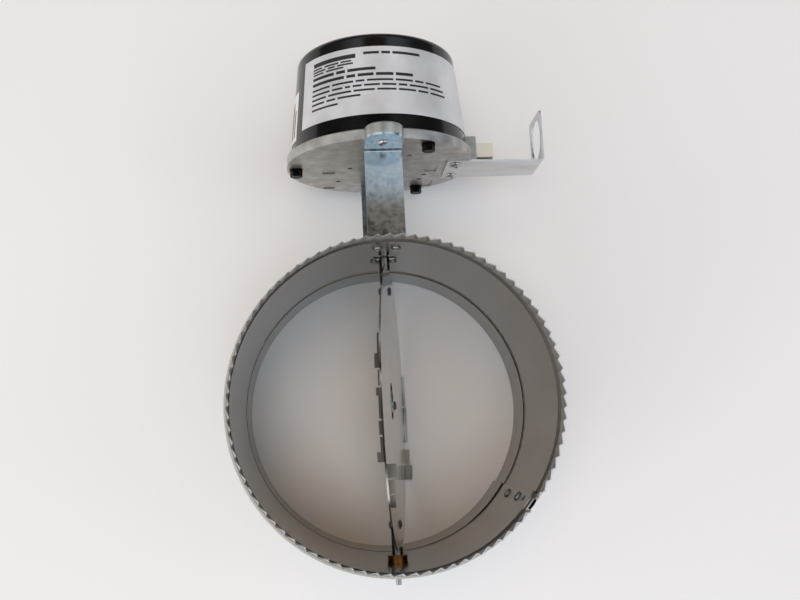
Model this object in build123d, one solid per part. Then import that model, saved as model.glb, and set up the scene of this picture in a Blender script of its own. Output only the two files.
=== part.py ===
from build123d import *
import os
from math import cos, degrees, radians, sin, sqrt

# Automatic vent damper for 7 inch vent pipe, in millimetres.
# Z runs up the pipe from its plain end, Y points from the pipe to the drive unit.

# Vent pipe
pipe_bore_radius = 88.9
pipe_wall = 0.7
pipe_length = 158.0
shaft_height = 85.0

# Stiffening beads rolled outwards in the pipe
bead_half_width = 4.5
bead_depth = 1.7
lower_bead_height = 38.0
upper_bead_height = 135.0

# Crimped end of the pipe
crimp_count = 84
crimp_length = 18.5
crimp_depth = 1.6
crimp_root_depth = 0.4
crimp_taper = 1.8
crimp_wall = 0.6
crimp_root_inset = 0.2
crimp_slow_share = 0.75
crimp_overlap = 1.0

# Lap seam of the rolled sheet
seam_edge_angle = -35.0
seam_blend_angle = 25.0
seam_step = 1.2
seam_rivet_angle = -38.5
seam_rivet_heights = (69.0, 101.0)
seam_screw_height = 118.0
seam_notch_angle = -39.5
seam_notch_width = 7.4
seam_notch_bottom = 131.5

# Fasteners
rivet_radius = 1.6
rivet_head_radius = 2.9
rivet_head_height = 1.1
rivet_head_taper = 0.55
screw_radius = 1.75
screw_washer_radius = 4.0
screw_washer_height = 0.9
screw_hex_flats = 6.4
screw_hex_height = 3.6
hole_clearance = 0.1
running_clearance = 0.05
cut_overlap = 1.0

# Stand-off bracket between pipe and drive unit
bracket_width = 21.5
bracket_thickness = 1.2
bracket_half_span = 38.4
bracket_bend_radius = 1.5
bracket_tab_reach = 67.0
bracket_shaft_hole_radius = 7.5
bracket_rivet_half_spacing = 5.3
bracket_rivet_near = 29.5
bracket_rivet_far = 10.5

# Cast base of the drive unit
casting_underside = 144.9
casting_radius = 56.5
casting_floor = 3.5
casting_rim_height = 6.1
casting_rim_wall = 2.2
casting_edge_radius = 0.8
ear_rivet_reach = 51.5
ear_rivet_depth = 2.6
ear_rivet_head_radius = 3.6
hub_radius = 8.5
hub_height = 6.0
clinch_length = 12.5
clinch_width = 7.5
clinch_depth = 0.8
clinch_offset = 31.5
clinch_rows = (4.5, 38.0)
cast_hole_radius = 1.5
cast_hole_depth = 2.0
cast_hole_places = ((-18.3, -0.5), (-25.6, 27.2), (16.4, -23.4), (28.3, 16.7), (26.5, 26.7))

# Cover of the drive unit
cover_foot_radius = 54.0
cover_top_radius = 48.0
cover_top = 211.0
cover_wall = 2.5
cover_edge_radius = 4.0
cover_boss_radius = 3.6
cover_boss_height = 16.0
cover_screw_circle = 51.0
cover_screw_length = 12.0
cover_screw_angles = (60, 180, 300)
cover_window_clearance = 0.4

# Labels on the cover
label_thickness = 0.15
label_glue = 0.1
label_low = 160.3
label_high = 201.8
label_start = -150.0
label_arc = 155.0
side_label_low = 157.0
side_label_high = 187.5
side_label_start = -185.0
side_label_arc = 26.0

# Plug receptacle in its cast block
plug_count = 4
plug_pitch = 6.3
plug_length = 23.0
plug_width = 26.0
plug_height = 8.8
plug_reach = 69.0
plug_floor = 147.6
plug_middle = 5.0
plug_cavity_radius = 1.9
plug_cavity_depth = 9.0
plug_clearance = 0.15
contact_radius = 1.0
contact_length = 20.0
contact_tail = 2.0
block_reach = 58.0
block_depth = 14.0
block_wall = 4.2
block_top = 159.6

# Conduit strap
strap_thickness = 1.2
strap_middle = 5.7
strap_flare = 4.5
strap_inner = 40.0
strap_reach = 100.0
strap_bend_radius = 1.5
strap_corner_radius = 2.0
conduit_hole_radius = 12.7
conduit_hole_height = 161.5
conduit_hole_margin = 2.3
strap_rivet_inset = 5.8
strap_rivet_half_spacing = 11.2
strap_rivet_head_radius = 4.0
strap_rivet_depth = 2.4

# Damper blade, turned a little from fully open as it stands
blade_radius = 83.5
blade_half_length = 80.5
blade_thickness = 0.9
blade_seat = 1.3
blade_turn = -7.5
pilot_hole_radius = 10.5
pilot_hole_offset = 20.0
pilot_hole_height = 2.0
blade_rivet_reach = 68.0
blade_rivet_head_radius = 3.0

# Shaft and bearings
shaft_radius = 3.175
shaft_top = 166.0
pivot_radius = 1.6
pivot_reach = 101.8
lower_bush_radius = 5.7
lower_bush_height = 3.8
lower_bush_neck_radius = 4.0
lower_bush_neck_reach = 3.0
lower_bush_shoulder_gap = 0.1
clip_radius = 6.5
clip_thickness = 0.9
upper_bush_radius = 5.0
upper_bush_flange_radius = 7.0
upper_bush_flange = 1.5
upper_bush_overhang = 1.7

# Drive train under the cover
coupling_radius = 7.5
coupling_length = 19.0
coupling_gap = 0.3
output_shaft_gap = 1.0
set_screw_radius = 2.0
set_screw_inset = 3.5
cam_base_radius = 13.0
cam_lobe_radius = 16.0
cam_thickness = 4.0
cam_offset = 7.5
switch_gap = 0.4
switch_plunger_radius = 1.0
switch_plunger_length = 1.6
switch_length = 20.0
switch_depth = 10.0
switch_height = 6.4
switch_screw_spacing = 9.5
switch_screw_radius = 1.1
switch_screw_depth = 4.0
board_length = 40.0
board_width = 20.0
board_thickness = 1.6
board_inner = 20.0
board_lift = 12.0
board_screw_inset = 4.0
relay_length = 19.0
relay_width = 15.0
relay_height = 15.0
boss_radius = 2.6
motor_plate_length = 72.0
motor_plate_width = 58.0
motor_plate_thickness = 1.5
motor_plate_corner = 9.0
motor_plate_lift = 33.5
post_radius = 3.5
post_spacing_x = 48.0
post_spacing_y = 60.0
post_spigot_radius = 2.0
post_spigot_depth = 2.5
post_screw_depth = 6.0
gearbox_radius = 26.0
gearbox_height = 11.5
gearbox_offset = 6.0
motor_radius = 24.5
motor_height = 12.0

# Sizes that follow from the ones above
pipe_radius = pipe_bore_radius + pipe_wall
crimp_start = pipe_length - crimp_length
casting_floor_top = casting_underside + casting_floor
rim_inner_radius = casting_radius - casting_rim_wall
bracket_tab_top = casting_underside
hub_top = casting_floor_top + hub_height
coupling_start = hub_top + upper_bush_flange + coupling_gap
coupling_top = coupling_start + coupling_length
cam_start = coupling_start + cam_offset
motor_plate_start = casting_floor_top + motor_plate_lift
motor_plate_top = motor_plate_start + motor_plate_thickness
gearbox_top = motor_plate_top + gearbox_height
rivet_hole_radius = rivet_radius + hole_clearance
screw_hole_radius = screw_radius + hole_clearance
switch_screw_hole_radius = switch_screw_radius + hole_clearance
block_width = plug_width + 2 * block_wall
strap_width = 2 * (conduit_hole_radius + conduit_hole_margin)
strap_top = conduit_hole_height + conduit_hole_radius + conduit_hole_margin
drive = Plane(origin=(0, 0, shaft_height), x_dir=(1, 0, 0), z_dir=(0, 1, 0)).location
along_z = (Align.CENTER, Align.CENTER, Align.MIN)


def rod(radius, low, high):
    """A cylinder on the Z axis between two heights."""
    return Pos(0, 0, low) * Cylinder(radius, high - low, align=along_z)


def slab(x_low, x_high, y_low, y_high, z_low, z_high):
    """A block between two corners."""
    size = (x_high - x_low, y_high - y_low, z_high - z_low)
    return Pos(x_low, y_low, z_low) * Box(*size, align=(Align.MIN, Align.MIN, Align.MIN))


def cone_head(radius, height):
    """A low rivet head that stands on Z = 0."""
    return Cone(radius, rivet_head_taper * radius, height, align=along_z)


def hex_screw(length):
    """A hex washer head screw, its shank up from Z = 0 and its head below."""
    washer = rod(screw_washer_radius, -screw_washer_height, 0)
    hexagon = extrude(RegularPolygon(screw_hex_flats / sqrt(3), 6), screw_hex_height)
    head = Pos(0, 0, -screw_washer_height - screw_hex_height) * hexagon
    return rod(screw_radius, 0, length) + washer + head


def radial(angle, height):
    """A place on the pipe axis whose Z points outwards at the given angle."""
    outwards = (cos(radians(angle)), sin(radians(angle)), 0)
    return Plane(origin=(0, 0, height), x_dir=(0, 0, 1), z_dir=outwards).location


def wall_rivet(inner, outer):
    """A rivet through a wall, with its Z outwards and a head on both sides."""
    inner_seat = sqrt(inner**2 - rivet_head_radius**2)
    shank = rod(rivet_radius, inner_seat, outer)
    outer_head = Pos(0, 0, outer) * cone_head(rivet_head_radius, rivet_head_height)
    inner_head = Pos(0, 0, inner_seat) * (Rot(180, 0, 0) * cone_head(rivet_head_radius, rivet_head_height))
    return shank + outer_head + inner_head


# Vent pipe: revolved wall with two beads
def wall_edges(radius, top):
    edges = []
    start = 0.0
    for middle in (lower_bead_height, upper_bead_height):
        low = middle - bead_half_width
        high = middle + bead_half_width
        edges.append(Line((radius, start), (radius, low)))
        edges.append(ThreePointArc((radius, low), (radius + bead_depth, middle), (radius, high)))
        start = high
    edges.append(Line((radius, start), (radius, top)))
    return edges


wall_top = crimp_start + crimp_overlap
wall_outline = wall_edges(pipe_radius, wall_top) + wall_edges(pipe_bore_radius, wall_top)
wall_outline.append(Line((pipe_bore_radius, 0), (pipe_radius, 0)))
wall_outline.append(Line((pipe_bore_radius, wall_top), (pipe_radius, wall_top)))
vent_pipe = revolve(Plane.XZ * make_face(wall_outline), Axis.Z)


# Crimped end: saw-tooth folds that deepen and draw in towards the rim
def crimp_section(height, inset):
    share = (height - crimp_start) / crimp_length
    peak = pipe_radius - crimp_root_inset - inset - share * crimp_taper
    valley = peak - crimp_root_depth - share * (crimp_depth - crimp_root_depth)
    corners = []
    for tooth in range(crimp_count):
        for radius, step in ((peak, 0.0), (valley, crimp_slow_share)):
            angle = radians((tooth + step) * 360 / crimp_count)
            corners.append((radius * cos(angle), radius * sin(angle)))
    return Pos(0, 0, height) * make_face(Polyline(*corners, close=True))


crimp_low = crimp_start - crimp_overlap
crimp_high = pipe_length + crimp_overlap
crimp_outer = loft([crimp_section(crimp_start, 0), crimp_section(pipe_length, 0)], ruled=True)
crimp_inner = loft([crimp_section(crimp_low, crimp_wall), crimp_section(crimp_high, crimp_wall)], ruled=True)
vent_pipe += crimp_outer - crimp_inner

# Lap seam: the sheet's inner end stands proud at one edge and runs out into the wall
seam_shift = seam_step / sin(radians(seam_blend_angle))
shift_angle = radians(seam_edge_angle + 90 - seam_blend_angle)
seam_centre = (-seam_shift * cos(shift_angle), -seam_shift * sin(shift_angle))
seam_end_angle = seam_edge_angle - 2 * seam_blend_angle
seam_reach = 2 * pipe_radius
seam_sector = make_face(
    Polyline(
        (0, 0),
        (seam_reach * cos(radians(seam_edge_angle)), seam_reach * sin(radians(seam_edge_angle))),
        (seam_reach * cos(radians(seam_end_angle)), seam_reach * sin(radians(seam_end_angle))),
        close=True,
    )
)
seam_crescent = Circle(pipe_bore_radius + pipe_wall / 2) - Pos(*seam_centre) * Circle(pipe_bore_radius)
seam_crescent = seam_crescent & seam_sector
seam_spans = (
    (0.0, lower_bead_height - bead_half_width),
    (lower_bead_height + bead_half_width, upper_bead_height - bead_half_width),
)
for low, high in seam_spans:
    vent_pipe += Pos(0, 0, low) * extrude(seam_crescent, high - low)

# Notch in the crimped end, over the seam screw
hole_reach = pipe_radius + 2 * bead_depth
notch_frame = radial(seam_notch_angle, seam_notch_bottom)
vent_pipe -= notch_frame * slab(
    0, pipe_length, -seam_notch_width / 2, seam_notch_width / 2, pipe_bore_radius / 2, hole_reach
)

# Holes in the pipe
bracket_rivet_places = (
    (bracket_rivet_half_spacing, bracket_rivet_near),
    (-bracket_rivet_half_spacing, bracket_rivet_near),
    (bracket_rivet_half_spacing, -bracket_rivet_far),
    (-bracket_rivet_half_spacing, -bracket_rivet_far),
)
bracket_rivet_frames = []
for across, along in bracket_rivet_places:
    bracket_rivet_frames.append(radial(90 - degrees(across / pipe_radius), shaft_height + along))
bracket_outer_radius = pipe_radius + bracket_thickness
shaft_passage = radial(90, shaft_height) * rod(bracket_shaft_hole_radius, 0, hole_reach)
vent_pipe -= shaft_passage
vent_pipe -= radial(-90, shaft_height) * rod(lower_bush_neck_radius + hole_clearance, 0, hole_reach)
for frame in bracket_rivet_frames:
    vent_pipe -= frame * rod(rivet_hole_radius, pipe_bore_radius - bead_depth, hole_reach)
head_turn = rivet_head_radius / pipe_bore_radius
head_edge_angle = radians(seam_rivet_angle) + head_turn - shift_angle
seam_across = seam_shift * sin(head_edge_angle)
seam_edge_radius = (pipe_bore_radius ** 2 - seam_across ** 2) ** 0.5 - seam_shift * cos(head_edge_angle)
seam_bore_radius = seam_edge_radius * cos(head_turn)
for height in seam_rivet_heights:
    rivet_hole = rod(rivet_hole_radius, seam_bore_radius - cut_overlap, hole_reach)
    vent_pipe -= radial(seam_rivet_angle, height) * rivet_hole
seam_screw_frame = radial(seam_rivet_angle, seam_screw_height)
vent_pipe -= seam_screw_frame * rod(screw_hole_radius, seam_bore_radius - cut_overlap, hole_reach)

seam_rivets = []
for height in seam_rivet_heights:
    seam_rivets.append(radial(seam_rivet_angle, height) * wall_rivet(seam_bore_radius, pipe_radius))
seam_screw_length = pipe_radius - seam_bore_radius
seam_screw = seam_screw_frame * (Pos(0, 0, pipe_radius) * (Rot(180, 0, 0) * hex_screw(seam_screw_length)))


# Stand-off bracket: a saddle on the pipe, two legs and two tabs turned outwards
def bracket_leg(side):
    inner = bracket_half_span - bracket_thickness
    outline = Polyline(
        (inner, pipe_bore_radius - bead_depth),
        (bracket_half_span, pipe_bore_radius - bead_depth),
        (bracket_half_span, bracket_tab_top - bracket_thickness),
        (bracket_tab_reach, bracket_tab_top - bracket_thickness),
        (bracket_tab_reach, bracket_tab_top),
        (inner, bracket_tab_top),
        close=True,
    )
    side_view = make_face(outline)
    corners = side_view.vertices()
    inside = corners.sort_by_distance((bracket_half_span, bracket_tab_top - bracket_thickness))[0]
    side_view = fillet(inside, bracket_bend_radius)
    outside = side_view.vertices().sort_by_distance((inner, bracket_tab_top))[0]
    side_view = fillet(outside, bracket_bend_radius + bracket_thickness)
    side_plane = Plane(origin=(0, 0, 0), x_dir=(0, 0, 1), z_dir=(-1, 0, 0))
    leg = extrude(side_plane * side_view, bracket_width / 2, both=True)
    end_radius = bracket_width / 2
    plan = Rectangle(bracket_width, 2 * (bracket_tab_reach - end_radius))
    plan += Pos(0, bracket_tab_reach - end_radius) * Circle(end_radius)
    plan = Plane(origin=(0, 0, 0), x_dir=(1, 0, 0), z_dir=(0, -1, 0)) * plan
    leg = leg & extrude(plan, 2 * bracket_tab_top, both=True)
    if side < 0:
        leg = mirror(leg, about=Plane.XY)
    return Pos(0, 0, shaft_height) * leg


saddle = Circle(bracket_outer_radius) - Circle(pipe_radius)
saddle = saddle & (Pos(0, pipe_radius) * Rectangle(bracket_width, pipe_radius))
standoff_bracket = Pos(0, 0, shaft_height) * extrude(saddle, bracket_half_span, both=True)
for side in (1, -1):
    standoff_bracket += bracket_leg(side) - rod(pipe_radius, 0, pipe_length)
standoff_bracket -= shaft_passage
for frame in bracket_rivet_frames:
    standoff_bracket -= frame * rod(rivet_hole_radius, pipe_bore_radius, hole_reach)
bracket_rivets = []
for frame in bracket_rivet_frames:
    bracket_rivets.append(frame * wall_rivet(pipe_bore_radius, bracket_outer_radius))


# Rivets that hold the bracket tabs and the conduit strap under the casting
def under_rivet(x, y, thickness, depth, head_radius):
    low = casting_underside - thickness
    shank = rod(rivet_radius, low, casting_underside + depth)
    head = Pos(0, 0, low) * (Rot(180, 0, 0) * cone_head(head_radius, rivet_head_height))
    return Pos(x, y, 0) * (shank + head)


def under_rivet_hole(x, y, thickness, depth):
    low = casting_underside - 2 * thickness
    high = casting_underside + depth + hole_clearance
    return Pos(x, y, 0) * rod(rivet_hole_radius, low, high)


ear_places = ((0, ear_rivet_reach), (0, -ear_rivet_reach))
ear_rivets = []
for x, y in ear_places:
    ear_rivets.append(drive * under_rivet(x, y, bracket_thickness, ear_rivet_depth, ear_rivet_head_radius))
    standoff_bracket -= drive * under_rivet_hole(x, y, bracket_thickness, ear_rivet_depth)

# Cast base: round tray with two ears, a plug block and a hub
tray = Circle(casting_radius)
ear_middle = bracket_tab_reach - bracket_width / 2
for side in (1, -1):
    tray += Pos(0, side * ear_middle) * Circle(bracket_width / 2)
    tray += Pos(0, side * ear_middle / 2) * Rectangle(bracket_width, ear_middle)
base_casting = Pos(0, 0, casting_underside) * extrude(tray, casting_rim_height)
base_casting = fillet(base_casting.edges().group_by(Axis.Z)[-1], casting_edge_radius)
base_casting -= rod(rim_inner_radius, casting_floor_top, cover_top)
block = slab(
    block_reach - block_depth,
    block_reach,
    plug_middle - block_width / 2,
    plug_middle + block_width / 2,
    casting_underside,
    block_top,
)
block = fillet(block.edges().group_by(Axis.Z)[-1], casting_edge_radius)
base_casting += block
plug_high = plug_floor + plug_height
base_casting -= slab(
    block_reach - 2 * block_depth,
    block_reach + block_depth,
    plug_middle - plug_width / 2 - plug_clearance,
    plug_middle + plug_width / 2 + plug_clearance,
    plug_floor,
    plug_high + plug_clearance,
)
base_casting += rod(hub_radius, casting_underside, hub_top)
base_casting -= rod(upper_bush_radius, casting_underside - hub_height, hub_top + hub_height)
for side in (1, -1):
    for row in clinch_rows:
        mark = Box(clinch_width, clinch_length, 2 * clinch_depth)
        base_casting -= Pos(side * clinch_offset, row, casting_underside) * mark
for x, y in cast_hole_places:
    hole = rod(cast_hole_radius, casting_underside - cut_overlap, casting_underside + cast_hole_depth)
    base_casting -= Pos(x, y, 0) * hole
for x, y in ear_places:
    base_casting -= under_rivet_hole(x, y, bracket_thickness, ear_rivet_depth)

# Switch and board bosses, cast with the base
switch_inner = cam_lobe_radius + switch_gap + switch_plunger_length
switch_middle = switch_inner + switch_depth / 2
switch_low = cam_start + cam_thickness / 2 - switch_height / 2
switch_frames = (Rot(0, 0, 180), Rot(0, 0, 90))
for frame in switch_frames:
    for side in (1, -1):
        place = frame * Pos(switch_middle, side * switch_screw_spacing / 2, 0)
        base_casting += place * rod(boss_radius, casting_underside + casting_floor / 2, switch_low)
        base_casting -= place * rod(switch_screw_hole_radius, switch_low - switch_screw_depth, cover_top)
board_low = casting_floor_top + board_lift
board_middle = board_inner + board_width / 2
board_screw_half = board_length / 2 - board_screw_inset
for side in (1, -1):
    place = Pos(board_middle, side * board_screw_half, 0)
    base_casting += place * rod(boss_radius, casting_underside + casting_floor / 2, board_low)
    base_casting -= place * rod(switch_screw_hole_radius, board_low - switch_screw_depth, cover_top)
post_places = [(x * post_spacing_x / 2, y * post_spacing_y / 2) for x in (1, -1) for y in (1, -1)]
for x, y in post_places:
    seat = rod(post_spigot_radius, casting_floor_top - post_spigot_depth, casting_floor_top)
    base_casting -= Pos(x, y, 0) * seat

# Screws from below hold the cover
cover_screw_frames = [Rot(0, 0, angle) * Pos(cover_screw_circle, 0, 0) for angle in cover_screw_angles]
cover_screws = []
for frame in cover_screw_frames:
    screw = Pos(0, 0, casting_underside) * hex_screw(cover_screw_length)
    cover_screws.append(drive * (frame * screw))
    screw_bore = rod(screw_hole_radius, casting_underside - cut_overlap, casting_floor_top + cut_overlap)
    base_casting -= frame * screw_bore

# Conduit strap: flat foot under the casting and an upturned end with the conduit hole
strap_low = casting_underside - strap_thickness
foot_outline = Polyline(
    (strap_inner, strap_low),
    (strap_reach, strap_low),
    (strap_reach, strap_top),
    (strap_reach - strap_thickness, strap_top),
    (strap_reach - strap_thickness, casting_underside),
    (strap_inner, casting_underside),
    close=True,
)
foot_view = make_face(foot_outline)
inner_bend = foot_view.vertices().sort_by_distance((strap_reach - strap_thickness, casting_underside))[0]
foot_view = fillet(inner_bend, strap_bend_radius)
outer_bend = foot_view.vertices().sort_by_distance((strap_reach, strap_low))[0]
foot_view = fillet(outer_bend, strap_bend_radius + strap_thickness)
strap_half = strap_width / 2
strap_outline = make_face(
    Polyline(
        (strap_inner, -strap_half - strap_flare),
        (strap_reach - 4 * strap_thickness, -strap_half),
        (strap_reach, -strap_half),
        (strap_reach, strap_half),
        (strap_inner, strap_half),
        close=True,
    )
)
strap_blank = Pos(0, 0, strap_low) * extrude(strap_outline, strap_top - strap_low)
strap_shape = extrude(Plane.XZ * foot_view, strap_width, both=True) & strap_blank
strap_corners = strap_shape.edges().filter_by(Axis.Z).sort_by(Axis.X)[:2]
strap_shape = fillet(strap_corners, strap_corner_radius)
strap_corners = strap_shape.edges().filter_by(Axis.X).sort_by(Axis.Z)[-2:]
strap_shape = fillet(strap_corners, strap_corner_radius)
conduit_strap = Pos(0, strap_middle, 0) * strap_shape
conduit_frame = Plane(origin=(strap_reach, strap_middle, conduit_hole_height), z_dir=(1, 0, 0)).location
conduit_strap -= conduit_frame * rod(conduit_hole_radius, -2 * strap_thickness, strap_thickness)
strap_rivets = []
for side in (1, -1):
    x = strap_inner + strap_rivet_inset
    y = strap_middle + side * strap_rivet_half_spacing
    strap_rivets.append(drive * under_rivet(x, y, strap_thickness, strap_rivet_depth, strap_rivet_head_radius))
    conduit_strap -= under_rivet_hole(x, y, strap_thickness, strap_rivet_depth)
    base_casting -= under_rivet_hole(x, y, strap_thickness, strap_rivet_depth)
conduit_strap = drive * conduit_strap

# Cover: a drafted round cup with screw bosses and a window for the plug block
cover_outer = Pos(0, 0, casting_floor_top) * Cone(
    cover_foot_radius, cover_top_radius, cover_top - casting_floor_top, align=along_z)
cover_outer = fillet(cover_outer.edges().group_by(Axis.Z)[-1], cover_edge_radius)
cover_inner = Pos(0, 0, casting_floor_top) * Cone(
    cover_foot_radius - cover_wall, cover_top_radius - cover_wall, cover_top - casting_floor_top - cover_wall,
    align=along_z)
cover_inner = fillet(cover_inner.edges().group_by(Axis.Z)[-1], cover_edge_radius - cover_wall)
motor_cover = cover_outer - cover_inner
for frame in cover_screw_frames:
    boss = frame * rod(cover_boss_radius, casting_floor_top, casting_floor_top + cover_boss_height)
    motor_cover += boss & cover_outer
    bore_top = casting_underside + cover_screw_length + cut_overlap
    motor_cover -= frame * rod(screw_hole_radius, casting_floor_top - cut_overlap, bore_top)
motor_cover -= slab(
    block_reach - block_depth - cover_wall,
    block_reach + block_depth,
    plug_middle - block_width / 2 - cover_window_clearance,
    plug_middle + block_width / 2 + cover_window_clearance,
    casting_underside,
    block_top + cover_window_clearance,
)
motor_cover = drive * motor_cover


# Labels: thin sheets that follow the drafted side of the cover
def cover_label(low, high, start, arc):
    draft = (cover_foot_radius - cover_top_radius) / (cover_top - casting_floor_top)
    low_radius = cover_foot_radius + label_glue - draft * (low - casting_floor_top)
    high_radius = cover_foot_radius + label_glue - draft * (high - casting_floor_top)
    outline = Polyline(
        (low_radius, low),
        (low_radius + label_thickness, low),
        (high_radius + label_thickness, high),
        (high_radius, high),
        close=True,
    )
    sheet = revolve(Plane.XZ * make_face(outline), Axis.Z, revolution_arc=arc)
    return drive * (Rot(0, 0, start) * sheet)


rating_label = cover_label(label_low, label_high, label_start, label_arc)
side_label = cover_label(side_label_low, side_label_high, side_label_start, side_label_arc)

# Plug receptacle and its contacts
plug_receptacle = slab(
    plug_reach - plug_length,
    plug_reach,
    plug_middle - plug_width / 2,
    plug_middle + plug_width / 2,
    plug_floor,
    plug_high,
)
contact_end = plug_length + contact_tail
contact_pins = []
for index in range(plug_count):
    across = plug_middle + (index - (plug_count - 1) / 2) * plug_pitch
    frame = Plane(origin=(plug_reach, across, plug_floor + plug_height / 2), z_dir=(-1, 0, 0)).location
    plug_receptacle -= frame * rod(plug_cavity_radius, -cut_overlap, plug_cavity_depth)
    plug_receptacle -= frame * rod(contact_radius, plug_cavity_depth - cut_overlap, contact_end)
    contact_pins.append(drive * (frame * rod(contact_radius, contact_end - contact_length, contact_end)))
plug_receptacle = drive * plug_receptacle

# Damper shaft: flat for the blade, reduced pivot at its foot
blade_frame = drive * Rot(0, 0, blade_turn)
lower_bush_top = pipe_bore_radius - lower_bush_height
shaft_shoulder = -lower_bush_top + lower_bush_shoulder_gap
damper_shaft = rod(shaft_radius, shaft_shoulder, shaft_top) + rod(pivot_radius, -pivot_reach, shaft_shoulder)
flat_half = blade_half_length + hole_clearance
damper_shaft -= slab(blade_seat, 2 * shaft_radius, -shaft_radius, shaft_radius, -flat_half, flat_half)

# Damper blade: round plate with cut ends, a pilot hole and short lips bent at its rim
blade_face = Circle(blade_radius) & Rectangle(2 * blade_radius, 2 * blade_half_length)
blade_face -= Pos(-pilot_hole_offset, pilot_hole_height) * Circle(pilot_hole_radius)
damper_blade = Pos(blade_seat, 0, 0) * extrude(Plane.YZ * blade_face, blade_thickness)
rim_band = Circle(blade_radius) - Circle(blade_radius - blade_thickness)
# Each lip: side of the shaft, lower and upper end along it, height bent to -X or +X
blade_lips = (
    (-1, 16.5, 35.0, -1.2),
    (-1, 16.5, 24.0, -2.6),
    (-1, 7.5, 15.5, -1.0),
    (-1, -9.0, 6.5, -1.2),
    (-1, 2.5, 6.5, -2.2),
    (-1, -17.0, -10.0, -1.6),
    (-1, -30.5, -18.0, -1.4),
    (-1, -30.5, -25.5, -3.4),
    (-1, -38.5, -31.5, 4.8),
    (-1, -46.5, -39.5, 3.2),
    (-1, -54.0, -47.5, 3.0),
    (1, 2.0, 22.0, 1.6),
    (1, -22.0, 1.0, 2.0),
    (1, -36.0, -27.0, 3.0),
    (1, -46.0, -37.0, 4.6),
)
for side, low, high, rise in blade_lips:
    window = Pos(side * blade_radius / 2, (low + high) / 2) * Rectangle(blade_radius, high - low)
    lip_face = Plane.YZ * (rim_band & window)
    if rise > 0:
        damper_blade += Pos(blade_seat, 0, 0) * extrude(lip_face, blade_thickness + rise)
    else:
        damper_blade += Pos(blade_seat + rise, 0, 0) * extrude(lip_face, blade_thickness - rise)

# Rivets through blade and shaft
blade_rivets = []
for reach in (blade_rivet_reach, 0, -blade_rivet_reach):
    across = Plane(origin=(0, 0, reach), z_dir=(1, 0, 0)).location
    hole = across * rod(rivet_hole_radius, -2 * shaft_radius, 2 * shaft_radius)
    damper_blade -= hole
    damper_shaft -= hole
    face = blade_seat + blade_thickness
    body = rod(rivet_radius, -shaft_radius, face)
    body += Pos(0, 0, face) * cone_head(blade_rivet_head_radius, rivet_head_height)
    body += Pos(0, 0, -shaft_radius) * (Rot(180, 0, 0) * cone_head(rivet_head_radius, rivet_head_height))
    blade_rivets.append(blade_frame * (across * body))
damper_blade = blade_frame * damper_blade
damper_shaft = blade_frame * damper_shaft

# Lower bush in the pipe wall and its retaining ring
bush_frame = radial(-90, shaft_height)
bush_head = bush_frame * rod(lower_bush_radius, lower_bush_top, pipe_radius)
bush_head = bush_head & rod(pipe_bore_radius, 0, pipe_length)
bush_neck = rod(lower_bush_neck_radius, lower_bush_top, pipe_radius + lower_bush_neck_reach)
pivot_bore = rod(pivot_radius + running_clearance, lower_bush_top - cut_overlap, pivot_reach)
lower_bush = bush_head + bush_frame * bush_neck - bush_frame * pivot_bore
ring = rod(clip_radius, pipe_radius, pipe_radius + clip_thickness)
ring -= rod(lower_bush_neck_radius, pipe_bore_radius, pivot_reach)
pivot_clip = bush_frame * ring

# Upper bush in the cast hub
upper_bush = rod(upper_bush_radius, casting_underside - upper_bush_overhang, hub_top + upper_bush_flange)
upper_bush += rod(upper_bush_flange_radius, hub_top, hub_top + upper_bush_flange)
upper_bush -= rod(shaft_radius + running_clearance, 0, cover_top)
shaft_bush = drive * upper_bush

# Coupling, its set screws, the motor's output shaft and the switch cam
output_low = shaft_top + output_shaft_gap
output_shaft = blade_frame * rod(shaft_radius, output_low, motor_plate_top)
coupling_bore = rod(shaft_radius, casting_underside, cover_top)
drive_coupling = rod(coupling_radius, coupling_start, coupling_top) - coupling_bore
coupling_screws = []
for height in (coupling_start + set_screw_inset, coupling_top - set_screw_inset):
    across = Plane(origin=(0, 0, height), z_dir=(1, 0, 0)).location
    drive_coupling -= across * rod(set_screw_radius, 0, 2 * coupling_radius)
    screw = across * rod(set_screw_radius, 0, coupling_radius) - coupling_bore
    coupling_screws.append(blade_frame * screw)
drive_coupling = blade_frame * drive_coupling
cam_lobes = Circle(cam_lobe_radius) & Rectangle(2 * cam_lobe_radius, cam_base_radius)
cam_face = Circle(cam_base_radius) + cam_lobes
cam_face -= Circle(coupling_radius)
switch_cam = blade_frame * (Pos(0, 0, cam_start) * extrude(cam_face, cam_thickness))

# Limit switches beside the cam
switch_top = switch_low + switch_height
switch_half = switch_length / 2
switch_outer = switch_inner + switch_depth
switch_body = slab(switch_inner, switch_outer, -switch_half, switch_half, switch_low, switch_top)
plunger_frame = Plane(origin=(switch_inner, 0, switch_low + switch_height / 2), z_dir=(-1, 0, 0)).location
switch_body += plunger_frame * rod(switch_plunger_radius, -cut_overlap, switch_plunger_length)
switch_screw = rod(switch_screw_radius, -switch_height - switch_screw_depth, 0)
switch_screw += cone_head(2 * switch_screw_radius, switch_screw_radius)
switch_screws = []
for side in (1, -1):
    place = Pos(switch_middle, side * switch_screw_spacing / 2, 0)
    switch_body -= place * rod(switch_screw_hole_radius, switch_low - cut_overlap, switch_top + cut_overlap)
    for frame in switch_frames:
        switch_screws.append(drive * (frame * (place * (Pos(0, 0, switch_top) * switch_screw))))
open_switch = drive * (switch_frames[0] * switch_body)
closed_switch = drive * (switch_frames[1] * switch_body)

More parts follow.
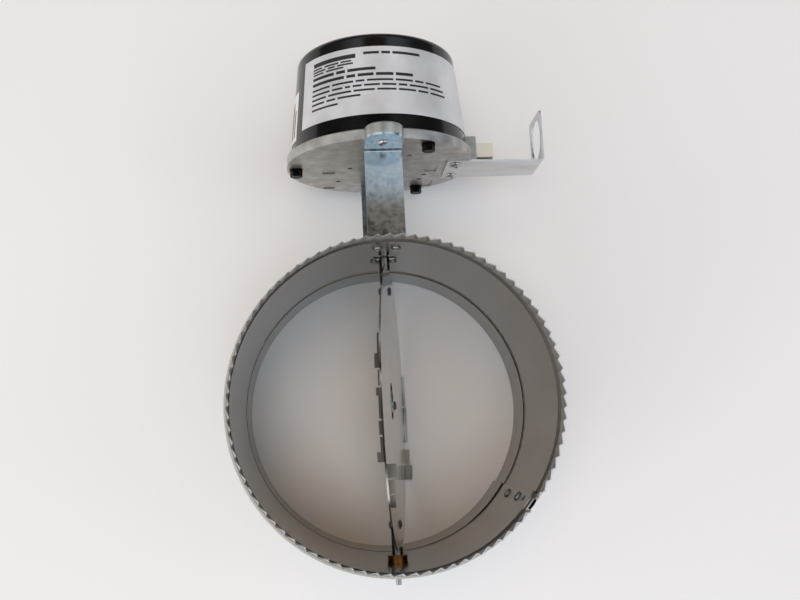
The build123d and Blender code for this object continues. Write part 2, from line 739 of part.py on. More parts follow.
# Circuit board with its relay
board_top = board_low + board_thickness
board_half = board_length / 2
circuit_board = slab(board_inner, board_inner + board_width, -board_half, board_half, board_low, board_top)
board_screw = rod(switch_screw_radius, -board_thickness - switch_screw_depth, 0)
board_screw += cone_head(2 * switch_screw_radius, switch_screw_radius)
board_screws = []
for side in (1, -1):
    place = Pos(board_middle, side * board_screw_half, 0)
    circuit_board -= place * rod(switch_screw_hole_radius, board_low - cut_overlap, board_top + cut_overlap)
    board_screws.append(drive * (place * (Pos(0, 0, board_top) * board_screw)))
circuit_board = drive * circuit_board
relay = drive * slab(
    board_middle - relay_width / 2,
    board_middle + relay_width / 2,
    -relay_length / 2,
    relay_length / 2,
    board_top,
    board_top + relay_height,
)

# Motor plate on four posts
plate_face = RectangleRounded(motor_plate_width, motor_plate_length, motor_plate_corner)
plate_face -= Circle(shaft_radius + running_clearance)
motor_plate = Pos(0, 0, motor_plate_start) * extrude(plate_face, motor_plate_thickness)
motor_posts = []
motor_screws = []
for x, y in post_places:
    post = rod(post_radius, casting_floor_top, motor_plate_start)
    post += rod(post_spigot_radius, casting_floor_top - post_spigot_depth, casting_floor_top)
    post -= rod(screw_hole_radius, motor_plate_start - post_screw_depth, motor_plate_start)
    motor_posts.append(drive * (Pos(x, y, 0) * post))
    motor_plate -= Pos(x, y, 0) * rod(screw_hole_radius, motor_plate_start, motor_plate_top)
    screw = rod(screw_radius, motor_plate_start - post_screw_depth + cut_overlap, motor_plate_top)
    screw += Pos(0, 0, motor_plate_top) * cone_head(post_radius, screw_radius)
    motor_screws.append(drive * (Pos(x, y, 0) * screw))
motor_plate = drive * motor_plate

# Gear motor: gear case with the motor can on top
gearbox_case = rod(gearbox_radius, motor_plate_top, gearbox_top)
gearbox_case = drive * (Pos(0, gearbox_offset, 0) * gearbox_case)
motor_can = rod(motor_radius, gearbox_top, gearbox_top + motor_height)
motor_can = fillet(motor_can.edges().group_by(Axis.Z)[-1], screw_radius)
motor_can = drive * (Pos(0, gearbox_offset, 0) * motor_can)

base_casting = drive * base_casting

nodes = {
    "vent_pipe": vent_pipe,
    "seam_rivets": Compound(seam_rivets),
    "seam_screw": seam_screw,
    "standoff_bracket": standoff_bracket,
    "bracket_rivets": Compound(bracket_rivets),
    "ear_rivets": Compound(ear_rivets),
    "base_casting": base_casting,
    "motor_cover": motor_cover,
    "cover_screws": Compound(cover_screws),
    "rating_label": rating_label,
    "side_label": side_label,
    "plug_receptacle": plug_receptacle,
    "contact_pins": Compound(contact_pins),
    "conduit_strap": conduit_strap,
    "strap_rivets": Compound(strap_rivets),
    "damper_blade": damper_blade,
    "damper_shaft": damper_shaft,
    "blade_rivets": Compound(blade_rivets),
    "lower_bush": lower_bush,
    "pivot_clip": pivot_clip,
    "shaft_bush": shaft_bush,
    "drive_coupling": drive_coupling,
    "coupling_screws": Compound(coupling_screws),
    "output_shaft": output_shaft,
    "switch_cam": switch_cam,
    "open_switch": open_switch,
    "closed_switch": closed_switch,
    "switch_screws": Compound(switch_screws),
    "circuit_board": circuit_board,
    "board_screws": Compound(board_screws),
    "relay": relay,
    "motor_plate": motor_plate,
    "motor_posts": Compound(motor_posts),
    "motor_screws": Compound(motor_screws),
    "gearbox_case": gearbox_case,
    "motor_can": motor_can,
}
os.makedirs("parts", exist_ok=True)
for name, shape in nodes.items():
    export_step(shape, f"parts/{name}.step")
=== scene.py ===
from math import cos, pi, radians, sin

import bpy
from mathutils import Matrix, Vector


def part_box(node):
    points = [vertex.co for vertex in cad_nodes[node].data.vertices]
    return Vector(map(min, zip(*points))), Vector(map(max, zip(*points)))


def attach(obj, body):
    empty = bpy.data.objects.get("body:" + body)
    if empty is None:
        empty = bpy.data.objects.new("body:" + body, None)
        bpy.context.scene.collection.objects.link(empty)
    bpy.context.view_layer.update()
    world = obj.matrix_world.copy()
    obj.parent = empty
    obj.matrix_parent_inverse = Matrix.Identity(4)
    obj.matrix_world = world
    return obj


# Vent damper standing on its plain end, seen from above as in the photograph. The script works in metres,
# and a size that is given in millimetres is multiplied by MM.
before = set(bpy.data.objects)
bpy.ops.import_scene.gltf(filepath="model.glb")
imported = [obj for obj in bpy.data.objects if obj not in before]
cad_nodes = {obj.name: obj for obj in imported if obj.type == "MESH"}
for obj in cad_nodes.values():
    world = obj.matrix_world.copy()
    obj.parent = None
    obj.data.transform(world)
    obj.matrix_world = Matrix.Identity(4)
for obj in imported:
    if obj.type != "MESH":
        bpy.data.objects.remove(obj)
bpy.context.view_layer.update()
MM = 0.001

# Places on the pipe, in mm
wall_middle_radius = 89.25
lower_bead_foot = 33.5
lower_bead_top = 42.5
upper_bead_foot = 130.0
bare_rim_foot = 157.3
above_pipe = 165.0
seam_edge_angle = -35.0

# Places on the blade and its shaft, in mm
shaft_height = 85.0
blade_lean = 7.5
blade_middle = 12.85

# Painted shade and reflection, in mm: shade on the pipe's inside along X, a brown reflection on the bracket
# along Y, shade around the shaft's middle, a shadow line from the seam's edge
right_shade_start = 10.0
right_shade_full = 85.0
brown_reflection_start = 125.0
brown_reflection_full = 106.0
hole_shade_edge = 10.0
hole_shade_full = 8.0
seam_shadow_edge = 0.6
seam_shadow_full = 0.2

# The blade's tabs, in mm from the middle of its sheet
tab_start = 0.5
tab_full = 0.8
tab_end = 5.0


# Colours and nodes

def linear(hex_colour):
    """An sRGB hex colour as linear RGBA."""
    channels = [int(hex_colour[i:i + 2], 16) / 255 for i in (1, 3, 5)]
    return tuple(c / 12.92 if c <= 0.04045 else ((c + 0.055) / 1.055) ** 2.4 for c in channels) + (1.0,)


def node(tree, kind, inputs=None, **settings):
    """Adds one node; a socket among the inputs is linked, anything else is set."""
    made = tree.nodes.new(kind)
    for name, value in settings.items():
        setattr(made, name, value)
    for socket, value in (inputs or {}).items():
        if isinstance(value, bpy.types.NodeSocket):
            tree.links.new(value, made.inputs[socket])
        else:
            made.inputs[socket].default_value = value
    return made


def nodes_of(material):
    """A material's tree, its shader and the Object coordinates that its pattern reads."""
    tree = material.node_tree
    return tree, tree.nodes["Principled BSDF"], node(tree, "ShaderNodeTexCoord").outputs["Object"]


def source_of(shader, socket):
    """What feeds a socket of the shader so far."""
    return shader.inputs[socket].links[0].from_socket


# The real grain of these finishes is too fine to show, so it is drawn coarser, at the size in grain_mm
relief_depth = 0.1


def clouded(name, tones, cloud_mm, gloss, grain_mm, bump, stretch, spread, detail, **sockets):
    """A finish whose tone and roughness drift together in soft clouds, over a grain."""
    material = bpy.data.materials.new(name)
    material.use_nodes = True
    tree, shader, place = nodes_of(material)
    for socket, value in sockets.items():
        shader.inputs[socket.replace("_", " ")].default_value = value
    stretched = node(tree, "ShaderNodeMapping", {"Vector": place, "Scale": stretch}).outputs["Vector"]
    cloud = node(tree, "ShaderNodeTexNoise",
                 {"Vector": stretched, "Scale": 1 / (cloud_mm * MM), "Detail": detail}).outputs["Fac"]
    low = 0.5 - spread
    high = 0.5 + spread
    tone = node(tree, "ShaderNodeValToRGB", {"Fac": cloud})
    for stop, position, colour in zip(tone.color_ramp.elements, (low, high), tones):
        stop.position = position
        stop.color = linear(colour)
    roughness = node(tree, "ShaderNodeMapRange", {"Value": cloud, "From Min": low, "From Max": high,
                                                  "To Min": gloss[0], "To Max": gloss[1]})
    grain = node(tree, "ShaderNodeTexNoise",
                 {"Vector": stretched, "Scale": 1 / (grain_mm * MM), "Detail": detail - 1})
    relief = node(tree, "ShaderNodeBump",
                  {"Height": grain.outputs["Fac"], "Strength": bump, "Distance": relief_depth * MM})
    tree.links.new(tone.outputs["Color"], shader.inputs["Base Color"])
    tree.links.new(roughness.outputs["Result"], shader.inputs["Roughness"])
    tree.links.new(relief.outputs["Normal"], shader.inputs["Normal"])
    return material


def worked_metal(name, tones, cloud_mm, gloss, grain_mm, bump, stretch=(1, 1, 1)):
    """Metal with clouds of a given size, and the grain that working it has left."""
    return clouded(name, tones, cloud_mm, gloss, grain_mm, bump, stretch,
                   spread=0.2, detail=4.0, Metallic=1.0)


def moulded_plastic(name, tones, gloss, grain_mm, bump, **sockets):
    """Moulded or coated plastic: an even colour that drifts a little, with a fine skin."""
    return clouded(name, tones, 18, gloss, grain_mm, bump, (1, 1, 1), spread=0.15, detail=3.0, **sockets)


# Aluminised steel sheet, cold rolled: satin grey, with a soft sheen that runs along the pipe. Its inside is
# painted darker and browner towards +X, as painted shade, and its outside is brighter. Its beads and crimped
# end are painted pale and its bare sheared rim bright, as painted highlight, and a painted shadow line runs
# beside the edge of its lap seam.
pipe_sheet = worked_metal("aluminised_steel_sheet", ("#939391", "#9F9F9D"), cloud_mm=22, gloss=(0.17, 0.25),
                          grain_mm=0.8, bump=0.08, stretch=(1, 1, 0.25))
tree, shader, place = nodes_of(pipe_sheet)
axes = node(tree, "ShaderNodeSeparateXYZ", {0: place}).outputs
# Painted shade: the inside darkens to brown towards +X.
right_half_shade = node(tree, "ShaderNodeMapRange",
             {"Value": axes["X"], "From Min": right_shade_start * MM, "From Max": right_shade_full * MM})
inside = node(tree, "ShaderNodeMix",
              {"Factor": right_half_shade.outputs["Result"], "A": source_of(shader, "Base Color"),
               "B": linear("#807A73")}, data_type="RGBA")
level = node(tree, "ShaderNodeVectorMath", {0: place, 1: (1, 1, 0)}, operation="MULTIPLY")
from_axis = node(tree, "ShaderNodeVectorMath", {0: level.outputs["Vector"]}, operation="LENGTH")
is_outside = node(tree, "ShaderNodeMath", {0: from_axis.outputs["Value"], 1: wall_middle_radius * MM},
                  operation="GREATER_THAN")
surface = node(tree, "ShaderNodeMix",
               {"Factor": is_outside.outputs["Value"], "A": inside.outputs["Result"],
                "B": linear("#C2C2C0")}, data_type="RGBA").outputs["Result"]
roughness = source_of(shader, "Roughness")
# Painted highlight: the beads and the crimped end are painted pale, and the sheared rim, a bare cut edge, is
# painted brighter; all of them are also rougher.
for foot, top, fade, colour, band_roughness in ((lower_bead_foot, lower_bead_top, 2.0, "#C6C2BB", 0.5),
                                        (upper_bead_foot, above_pipe, 2.0, "#C6C2BB", 0.5),
                                        (bare_rim_foot, above_pipe, 0.4, "#E4E4E2", 0.25)):
    rise = node(tree, "ShaderNodeMapRange",
                {"Value": axes["Z"], "From Min": foot * MM, "From Max": (foot + fade) * MM})
    fall = node(tree, "ShaderNodeMapRange",
                {"Value": axes["Z"], "From Min": top * MM, "From Max": (top - fade) * MM})
    band = node(tree, "ShaderNodeMath", {0: rise.outputs["Result"], 1: fall.outputs["Result"]},
                operation="MULTIPLY").outputs["Value"]
    surface = node(tree, "ShaderNodeMix", {"Factor": band, "A": surface, "B": linear(colour)},
                   data_type="RGBA").outputs["Result"]
    roughness = node(tree, "ShaderNodeMix", {"Factor": band, "A": roughness, "B": band_roughness}).outputs["Result"]
# Painted shadow: a thin dark line beside the lap seam's edge, on the seam's side, where the step in the wall
# shades it.
to_seam = Vector((cos(radians(seam_edge_angle)), sin(radians(seam_edge_angle)), 0))
beside_seam = node(tree, "ShaderNodeVectorMath", {0: place, 1: to_seam.cross((0, 0, 1))},
                   operation="DOT_PRODUCT")
off_seam = node(tree, "ShaderNodeMath", {0: beside_seam.outputs["Value"]}, operation="ABSOLUTE")
line = node(tree, "ShaderNodeMapRange",
            {"Value": off_seam.outputs["Value"], "From Min": seam_shadow_edge * MM, "From Max": seam_shadow_full * MM,
             "To Max": 0.75})
towards_seam = node(tree, "ShaderNodeVectorMath", {0: place, 1: to_seam}, operation="DOT_PRODUCT")
on_seam_side = node(tree, "ShaderNodeMath", {0: towards_seam.outputs["Value"], 1: 0.0},
                    operation="GREATER_THAN")
seam_shadow = node(tree, "ShaderNodeMath", {0: line.outputs["Result"], 1: on_seam_side.outputs["Value"]},
            operation="MULTIPLY")
seam_shadowed = node(tree, "ShaderNodeMix", {"Factor": seam_shadow.outputs["Value"], "A": surface, "B": linear("#3A3631")},
             data_type="RGBA")
tree.links.new(seam_shadowed.outputs["Result"], shader.inputs["Base Color"])
tree.links.new(roughness, shader.inputs["Roughness"])

# Bright annealed stainless sheet: nearly a mirror, clouded by handling. The bent tabs, which stand off the
# leaning sheet, are dulled by the press tool. The lower ones are painted pale as a painted highlight, and
# the upper ones dark as painted shade, darkest at the fold.
blade_sheet = worked_metal("bright_stainless_sheet", ("#B4B1AB", "#CFCCC6"), cloud_mm=26, gloss=(0.10, 0.20),
                           grain_mm=1.5, bump=0.06)
tree, shader, place = nodes_of(blade_sheet)
sheet_normal = (cos(radians(blade_lean)), 0, sin(radians(blade_lean)))
across = node(tree, "ShaderNodeVectorMath", {0: place, 1: sheet_normal}, operation="DOT_PRODUCT")
off_sheet = node(tree, "ShaderNodeMath", {0: across.outputs["Value"], 1: blade_middle * MM},
                 operation="SUBTRACT")
stand_off = node(tree, "ShaderNodeMath", {0: off_sheet.outputs["Value"]},
                 operation="ABSOLUTE").outputs["Value"]
tab = node(tree, "ShaderNodeMapRange",
           {"Value": stand_off, "From Min": tab_start * MM, "From Max": tab_full * MM}).outputs["Result"]
dulled = node(tree, "ShaderNodeMix", {"Factor": tab, "A": source_of(shader, "Roughness"), "B": 0.34})
# Painted light on the tabs: a pale painted highlight on the lower ones, painted shade on the upper ones,
# darkest at the fold.
from_fold = node(tree, "ShaderNodeMapRange",
                 {"Value": stand_off, "From Min": tab_full * MM, "From Max": tab_end * MM})
painted_tab_shade = node(tree, "ShaderNodeMix", {"Factor": from_fold.outputs["Result"], "A": linear("#6A655F"),
                                       "B": linear("#8E8982")}, data_type="RGBA")
axes = node(tree, "ShaderNodeSeparateXYZ", {0: place}).outputs
is_upper = node(tree, "ShaderNodeMath", {0: axes["Z"], 1: shaft_height * MM}, operation="GREATER_THAN")
tab_tone = node(tree, "ShaderNodeMix", {"Factor": is_upper.outputs["Value"], "A": linear("#F2EFE8"),
                                        "B": painted_tab_shade.outputs["Result"]}, data_type="RGBA")
toned = node(tree, "ShaderNodeMix", {"Factor": tab, "A": source_of(shader, "Base Color"),
                                     "B": tab_tone.outputs["Result"]}, data_type="RGBA")
tree.links.new(dulled.outputs["Result"], shader.inputs["Roughness"])
tree.links.new(toned.outputs["Result"], shader.inputs["Base Color"])

# Blue zinc plate on the bracket: a speckled bluish skin. A painted brown reflection makes it browner towards
# the pipe, and painted shade darkens it around the shaft's hole.
blue_zinc = worked_metal("blue_zinc_plated_steel", ("#A5BAC6", "#DFE9EE"), cloud_mm=2.6, gloss=(0.10, 0.26),
                         grain_mm=1.2, bump=0.06)
tree, shader, place = nodes_of(blue_zinc)
axes = node(tree, "ShaderNodeSeparateXYZ", {0: place}).outputs
# Painted reflection: the plate turns browner towards the pipe.
brown_reflection = node(tree, "ShaderNodeMapRange",
            {"Value": axes["Y"], "From Min": brown_reflection_start * MM, "From Max": brown_reflection_full * MM},
            interpolation_type="SMOOTHSTEP")
brown_reflected = node(tree, "ShaderNodeMix",
               {"Factor": brown_reflection.outputs["Result"], "A": source_of(shader, "Base Color"),
                "B": linear("#AFA79C")}, data_type="RGBA")
# Painted shade: nearly black around the shaft's hole, where the bracket lies in shade.
upright = node(tree, "ShaderNodeVectorMath", {0: place, 1: (1, 0, 1)}, operation="MULTIPLY")
from_shaft = node(tree, "ShaderNodeVectorMath", {0: upright.outputs["Vector"], 1: (0, 0, shaft_height * MM)},
                  operation="DISTANCE")
hole_shade = node(tree, "ShaderNodeMapRange",
            {"Value": from_shaft.outputs["Value"], "From Min": hole_shade_edge * MM, "From Max": hole_shade_full * MM})
hole_shaded = node(tree, "ShaderNodeMix", {"Factor": hole_shade.outputs["Result"], "A": brown_reflected.outputs["Result"],
                                      "B": linear("#2E2A26")}, data_type="RGBA")
tree.links.new(hole_shaded.outputs["Result"], shader.inputs["Base Color"])

# Zinc plated mild steel: bright, with soft streaks along the strip.
zinc_plate = worked_metal("zinc_plated_steel", ("#B7B9BA", "#D6D8D8"), cloud_mm=7, gloss=(0.15, 0.27),
                          grain_mm=1.4, bump=0.05, stretch=(0.3, 1, 1))
# Die-cast aluminium as it leaves the mould: pale grey, dull, with darker flow marks.
cast_skin = worked_metal("die_cast_aluminium", ("#A6A5A1", "#D6D4CF"), cloud_mm=8, gloss=(0.36, 0.50),
                         grain_mm=1.0, bump=0.55)
# Soft aluminium rivets, upset cold: dull and pale.
rivet_metal = worked_metal("aluminium_rivet", ("#B4B4B2", "#D0D0CE"), cloud_mm=1.5, gloss=(0.40, 0.50),
                           grain_mm=0.5, bump=0.2)
# Ground steel rod for shafts: bright, with faint streaks along the rod.
ground_steel = worked_metal("ground_steel_rod", ("#9A9A98", "#B9B9B7"), cloud_mm=3, gloss=(0.20, 0.28),
                            grain_mm=0.6, bump=0.15, stretch=(1, 0.2, 1))
# Turned brass: yellow, gone brown in places by heat.
turned_brass = worked_metal("turned_brass", ("#86572A", "#B98748"), cloud_mm=2.5, gloss=(0.25, 0.40),
                            grain_mm=0.5, bump=0.2)
# Black oxide on steel screws: nearly black with a dull shine.
black_oxide = worked_metal("black_oxide_steel", ("#101010", "#1E1E1E"), cloud_mm=2, gloss=(0.35, 0.48),
                           grain_mm=0.5, bump=0.2)
# Tinned brass contacts: pale and soft looking.
tinned_brass = worked_metal("tinned_brass", ("#B0AEA8", "#C9C7C1"), cloud_mm=1.5, gloss=(0.25, 0.35),
                            grain_mm=0.5, bump=0.1)

# Gloss black moulded cover: deep black with sharp reflections.
black_cover = moulded_plastic("gloss_black_abs", ("#080808", "#0E0E0E"), gloss=(0.10, 0.15),
                              grain_mm=1.0, bump=0.02, IOR=1.5)
# White nylon connector body: slightly yellow and waxy.
white_nylon = moulded_plastic("natural_nylon", ("#C6C3B4", "#D2CFC2"), gloss=(0.42, 0.5),
                              grain_mm=0.6, bump=0.1, IOR=1.53, Subsurface_Weight=0.25,
                              Subsurface_Radius=(0.003, 0.0025, 0.0015), Subsurface_Scale=0.4)
# Silver polyester label film: pale, with a soft sheen.
label_film = moulded_plastic("silver_polyester_film", ("#D0D1D2", "#DDDEDF"), gloss=(0.28, 0.34),
                             grain_mm=0.5, bump=0.03, IOR=1.6, Metallic=0.35)
# White coated label paper: bright and flat.
label_paper = moulded_plastic("white_label_paper", ("#E4E3DF", "#EDECE8"), gloss=(0.5, 0.6),
                              grain_mm=0.4, bump=0.05, IOR=1.5)
# Printing ink: thin, black and dull, a little patchy where it is worn.
printing_ink = moulded_plastic("printing_ink", ("#17171A", "#2A2A2C"), gloss=(0.45, 0.6),
                               grain_mm=0.6, bump=0.05, IOR=1.5)
# Acetal for the coupling and the cam: milky and smooth.
acetal = moulded_plastic("white_acetal", ("#D5D2C8", "#E2DFD6"), gloss=(0.35, 0.42),
                         grain_mm=0.8, bump=0.05, IOR=1.48)
# Phenolic switch bodies: black and dull.
phenolic = moulded_plastic("black_phenolic", ("#151412", "#211F1C"), gloss=(0.4, 0.5),
                           grain_mm=0.4, bump=0.15, IOR=1.55)
# Glass-epoxy board under green lacquer: even and slightly glossy.
green_board = moulded_plastic("glass_epoxy_board", ("#1F4A2C", "#2B5E3A"), gloss=(0.25, 0.35),
                              grain_mm=0.7, bump=0.1, IOR=1.55)
# Polyester relay case: slate blue, with a light texture from the mould.
relay_case = moulded_plastic("moulded_polyester", ("#23303E", "#2E3D4D"), gloss=(0.4, 0.48),
                             grain_mm=0.5, bump=0.15, IOR=1.57)

# What each piece wears
wears = {
    "vent_pipe": pipe_sheet,
    "seam_rivets": rivet_metal,
    "seam_screw": black_oxide,
    "standoff_bracket": blue_zinc,
    "bracket_rivets": rivet_metal,
    "ear_rivets": zinc_plate,
    "base_casting": cast_skin,
    "motor_cover": black_cover,
    "cover_screws": black_oxide,
    "rating_label": label_film,
    "side_label": label_paper,
    "plug_receptacle": white_nylon,
    "contact_pins": tinned_brass,
    "conduit_strap": zinc_plate,
    "strap_rivets": zinc_plate,
    "damper_blade": blade_sheet,
    "damper_shaft": ground_steel,
    "blade_rivets": rivet_metal,
    "lower_bush": turned_brass,
    "pivot_clip": zinc_plate,
    "shaft_bush": turned_brass,
    "drive_coupling": acetal,
    "coupling_screws": black_oxide,
    "output_shaft": ground_steel,
    "switch_cam": acetal,
    "open_switch": phenolic,
    "closed_switch": phenolic,
    "switch_screws": zinc_plate,
    "circuit_board": green_board,
    "board_screws": zinc_plate,
    "relay": relay_case,
    "motor_plate": zinc_plate,
    "motor_posts": turned_brass,
    "motor_screws": zinc_plate,
    "gearbox_case": zinc_plate,
    "motor_can": zinc_plate,
}
for name, piece in cad_nodes.items():
    piece.data.materials.clear()
    piece.data.materials.append(wears[name])


# Joining and dressing of the new pieces

def joined(parts, name):
    """Parts made one object, named, with its place in its mesh."""
    bpy.ops.object.select_all(action="DESELECT")
    for part in parts:
        part.select_set(True)
    bpy.context.view_layer.objects.active = parts[0]
    bpy.ops.object.join()
    bpy.ops.object.transform_apply(location=True, rotation=True, scale=True)
    whole = bpy.context.active_object
    whole.name = name
    return whole


def dressed(piece, finish):
    """Puts a new piece on the housing, in its finish."""
    piece.data.materials.clear()
    piece.data.materials.append(finish)
    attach(piece, "housing")


# Plain bars in place of print, laid on the labels: sizes in mm, and the gap as a share of the label
film_lift = 0.06
film_thickness = 0.03
bar_clearance = 5.0
bar_gap = 0.014


def label_bars(name, carrier, bars, turn, axis):
    """Thin bars, each a place beside the label and two sides in mm, pressed onto the label along an axis."""
    made = []
    for x, y, z, across, down in bars:
        bpy.ops.object.select_all(action="DESELECT")
        bpy.ops.mesh.primitive_grid_add(x_subdivisions=max(2, round(across)),
                                        y_subdivisions=max(2, round(down)), size=1,
                                        location=(x * MM, y * MM, z * MM), rotation=turn)
        made.append(bpy.context.active_object)
        made[-1].scale = (across * MM, down * MM, 1)
    rows = joined(made, name)
    press = rows.modifiers.new("press", "SHRINKWRAP")
    press.target = cad_nodes[carrier]
    press.wrap_method = "PROJECT"
    press.use_project_x = axis == "X"
    press.use_project_z = axis == "Z"
    press.use_positive_direction = axis == "X"
    press.use_negative_direction = axis == "Z"
    press.offset = film_lift * MM
    bpy.ops.object.modifier_apply(modifier="press")
    film = rows.modifiers.new("film", "SOLIDIFY")
    film.thickness = film_thickness * MM
    film.offset = -1
    bpy.ops.object.modifier_apply(modifier="film")
    dressed(rows, printing_ink)


# Rows on the rating label: the row's height and start as shares of the label, its bars' height in mm, and
# each bar's length as a share of the label
rating_rows = (
    (0.88, 0.085, 2.6, (0.24,)),
    (0.905, 0.37, 1.6, (0.09, 0.05, 0.16)),
    (0.815, 0.082, 1.0, (0.05, 0.08, 0.06)),
    (0.775, 0.081, 1.0, (0.07, 0.04, 0.09)),
    (0.735, 0.080, 1.0, (0.06, 0.1)),
    (0.67, 0.078, 1.8, (0.12, 0.05, 0.16)),
    (0.585, 0.075, 1.8, (0.18, 0.05, 0.09, 0.1, 0.1)),
    (0.50, 0.072, 1.2, (0.1, 0.12, 0.05, 0.15, 0.1, 0.05, 0.09)),
    (0.43, 0.070, 1.2, (0.1, 0.06, 0.03, 0.05, 0.09, 0.08, 0.05, 0.11, 0.08)),
    (0.36, 0.068, 1.2, (0.08, 0.13, 0.12, 0.11, 0.1, 0.06, 0.09)),
    (0.29, 0.066, 1.2, (0.07, 0.05, 0.13)),
    (0.21, 0.064, 1.2, (0.15,)),
)
low, high = (corner / MM for corner in map(Vector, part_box("rating_label")))
size = high - low
bars = []
for up, start, height, lengths in rating_rows:
    for length in lengths:
        bars.append((low.x + (start + length / 2) * size.x, low.y + up * size.y, high.z + bar_clearance,
                     length * size.x, height))
        start += length + bar_gap
label_bars("rating_label_bars", "rating_label", bars, (0, 0, 0), "Z")

# Rows on the side label: the row's height as a share of the label, its bar's height in mm, and the bar's
# length as a share of the label
side_rows = ((0.82, 1.6, 0.55), (0.66, 1.1, 0.75), (0.54, 1.1, 0.7), (0.42, 1.1, 0.78), (0.30, 1.1, 0.4))
side_start = 0.1
low, high = (corner / MM for corner in map(Vector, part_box("side_label")))
size = high - low
bars = [(low.x - bar_clearance, low.y + (side_start + length / 2) * size.y, low.z + up * size.z,
         height, length * size.y) for up, height, length in side_rows]
label_bars("side_label_bars", "side_label", bars, (0, -pi / 2, 0), "X")

# Rivet heads, rounded over by the setting tool: shares of the head's height and radius, and an angle
crown_height = 0.92
crown_border = 0.1
dimple_depth = 0.3
smooth_angle = 0.6


def rivet_heads(name, places, radius, height, finish):
    """Pan heads over the rivets, each (place, direction) in mm, with the dimple that the tool leaves."""
    bpy.ops.object.select_all(action="DESELECT")
    bpy.ops.mesh.primitive_uv_sphere_add(segments=28, ring_count=16, radius=1)
    pattern = bpy.context.active_object
    bpy.ops.object.mode_set(mode="EDIT")
    bpy.ops.mesh.select_all(action="SELECT")
    bpy.ops.mesh.bisect(plane_co=(0, 0, 0), plane_no=(0, 0, 1), use_fill=True, clear_inner=True)
    bpy.ops.mesh.select_all(action="SELECT")
    bpy.ops.mesh.bisect(plane_co=(0, 0, crown_height), plane_no=(0, 0, 1), use_fill=True, clear_outer=True)
    bpy.ops.mesh.inset(thickness=crown_border)
    bpy.ops.transform.translate(value=(0, 0, -dimple_depth))
    bpy.ops.object.mode_set(mode="OBJECT")
    bpy.ops.object.shade_smooth_by_angle(angle=smooth_angle)
    size = Matrix.Diagonal((radius * MM, radius * MM, height * MM, 1))
    heads = []
    for point, direction in places:
        copy = pattern.copy()
        copy.data = pattern.data.copy()
        bpy.context.scene.collection.objects.link(copy)
        facing = Vector(direction).to_track_quat("Z", "Y").to_matrix().to_4x4()
        copy.matrix_world = Matrix.Translation(Vector(point) * MM) @ facing @ size
        heads.append(copy)
    bpy.data.objects.remove(pattern)
    dressed(joined(heads, name), finish)


# Where the rivets sit, in mm and degrees
strip_face = 143.7
strap_rivet_x = 45.8
strap_rivet_heights = (68.1, 90.5)
ear_rivet_heights = (33.5, 136.5)
bracket_seat_radius = 88.7
bracket_rivet_angles = (86.61, 93.39)
bracket_rivet_heights = (74.5, 114.5)
seam_seat_radius = 87.69
seam_rivet_angle = -38.5
seam_rivet_heights = (69.0, 101.0)


def on_strip(x, height):
    """A point on the strips riveted under the casting, and the direction away from them, in mm."""
    return (x, strip_face, height), (0, -1, 0)


def on_wall(radius, degrees, height):
    """A point on the pipe's inside, and the direction from it to the axis, in mm."""
    outward = Vector((cos(radians(degrees)), sin(radians(degrees)), 0))
    return outward * radius + Vector((0, 0, height)), -outward


rivet_heads("strap_rivet_heads", [on_strip(strap_rivet_x, height) for height in strap_rivet_heights],
            radius=4.0, height=1.7, finish=zinc_plate)
rivet_heads("ear_rivet_heads", [on_strip(0, height) for height in ear_rivet_heights],
            radius=3.6, height=1.6, finish=zinc_plate)
rivet_heads("bracket_rivet_heads",
            [on_wall(bracket_seat_radius, angle, height)
             for angle in bracket_rivet_angles for height in bracket_rivet_heights],
            radius=2.9, height=1.6, finish=rivet_metal)
rivet_heads("seam_rivet_heads",
            [on_wall(seam_seat_radius, seam_rivet_angle, height) for height in seam_rivet_heights],
            radius=2.9, height=1.6, finish=rivet_metal)

# Table top, seen as a plain pale floor. White lacquered board: matt, with hardly any drift in its tone.
bpy.ops.object.select_all(action="DESELECT")
bpy.ops.mesh.primitive_plane_add(size=6, location=(0, 0, 0))
table = bpy.context.active_object
table.name = "table_top"
lacquer = bpy.data.materials.new("white_lacquered_board")
lacquer.use_nodes = True
tree, shader, place = nodes_of(lacquer)
shader.inputs["Roughness"].default_value = 0.5
shade = node(tree, "ShaderNodeTexNoise", {"Vector": place, "Scale": 1 / (667 * MM), "Detail": 2.0})
tone = node(tree, "ShaderNodeValToRGB", {"Fac": shade.outputs["Fac"]})
tone.color_ramp.elements[0].color = linear("#E6E5E3")
tone.color_ramp.elements[1].color = linear("#EAE9E8")
tree.links.new(tone.outputs["Color"], shader.inputs["Base Color"])
table.data.materials.append(lacquer)

# Soft room light over dim walls. Each zone has the direction of its middle, its stretch along X, Y and Z,
# how far from the middle it fades out and is full, and its colour. A later zone covers an earlier one.
room_zones = {
    "ceiling": ((0.0, 0.0, 1.0), (1, 1, 1), 1.12, 0.72, "#F1F5FB"),
    "left window": ((-0.88, -0.10, 0.46), (1, 1, 1), 0.75, 0.25, "#FFFDF8"),
    "front window": ((0.0, -0.93, 0.30), (0.5, 1, 1), 0.45, 0.2, "#FFFFFF"),
    "brown patch beyond the motor unit": ((-0.03, 0.60, 0.80), (1, 1, 1), 0.34, 0.17, "#6A5E54"),
    "dark bar beyond the motor unit": ((0.0, 0.47, 0.80), (0.05, 1, 0.05), 0.07, 0.05, "#0A0A0A"),
    "dark bar overhead": ((-0.15, -0.32, 0.94), (1, 0.25, 0.25), 0.20, 0.13, "#060606"),
    "dark patch overhead": ((0.0, 0.08, 0.99), (1, 1, 1), 0.235, 0.165, "#1C1713"),
}
world = bpy.data.worlds.new("soft_room")
bpy.context.scene.world = world
world.use_nodes = True
tree = world.node_tree
ray = node(tree, "ShaderNodeTexCoord").outputs["Generated"]
room = linear("#64666A")
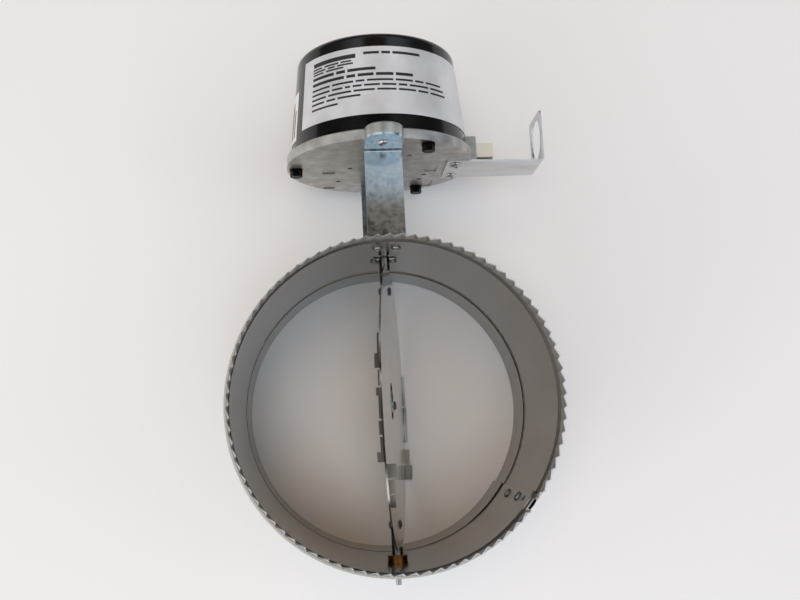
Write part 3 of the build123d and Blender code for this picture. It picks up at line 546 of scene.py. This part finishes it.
for middle, stretch, fades_out, full, colour in room_zones.values():
    away = node(tree, "ShaderNodeVectorMath", {0: ray, 1: middle}, operation="SUBTRACT")
    scaled = node(tree, "ShaderNodeVectorMath", {0: away.outputs["Vector"], 1: stretch},
                  operation="MULTIPLY")
    distance = node(tree, "ShaderNodeVectorMath", {0: scaled.outputs["Vector"]}, operation="LENGTH")
    share = node(tree, "ShaderNodeMapRange",
                 {"Value": distance.outputs["Value"], "From Min": fades_out, "From Max": full},
                 interpolation_type="SMOOTHSTEP")
    room = node(tree, "ShaderNodeMix", {"Factor": share.outputs["Result"], "A": room, "B": linear(colour)},
                data_type="RGBA").outputs["Result"]
sky = tree.nodes["Background"]
tree.links.new(room, sky.inputs["Color"])
sky.inputs["Strength"].default_value = 1.0
bpy.context.scene.view_settings.view_transform = "Standard"


# Lamps

def lamp(name, place, size, power, colour, mirrored):
    """A broad soft lamp at a place, facing the pipe's foot, that bright metal mirrors or not."""
    data = bpy.data.lights.new(name, "AREA")
    data.shape = "DISK"
    data.size = size
    data.energy = power
    data.color = linear(colour)[:3]
    made = bpy.data.objects.new(name, data)
    made.location = place
    made.rotation_euler = (-Vector(place)).to_track_quat("-Z", "Y").to_euler()
    made.visible_glossy = mirrored
    bpy.context.scene.collection.objects.link(made)


lamp("ceiling_light", (-0.30, -0.05, 2.0), size=0.7, power=6.0, colour="#FFF8F0", mirrored=False)
lamp("cool_lamp", (-0.05, -0.40, 2.0), size=0.7, power=8.0, colour="#E6F0FF", mirrored=False)
lamp("warm_lamp", (-0.15, 0.40, 1.95), size=0.7, power=4.5, colour="#FFD09A", mirrored=False)
lamp("left_window", (-1.4, -0.9, 1.0), size=1.2, power=6.0, colour="#F8F8FF", mirrored=True)
lamp("right_window", (1.5, -0.1, 0.9), size=1.2, power=3.5, colour="#D6E4FF", mirrored=True)

# Camera over the pipe, looking down it from where the photograph was taken
lens = bpy.data.cameras.new("view_camera")
lens.sensor_width = 36.0
lens.lens = 41.38
camera = bpy.data.objects.new("view_camera", lens)
right = Vector((0.99678, -0.04745, 0.06463))
up = Vector((0.03718, 0.98772, 0.15174))
back = Vector((-0.07104, -0.14884, 0.98631))
turn = Matrix((right, up, back)).transposed().to_4x4()
camera.matrix_world = Matrix.Translation((-0.03075, -0.01924, 0.6284)) @ turn
bpy.context.scene.collection.objects.link(camera)
bpy.context.scene.camera = camera
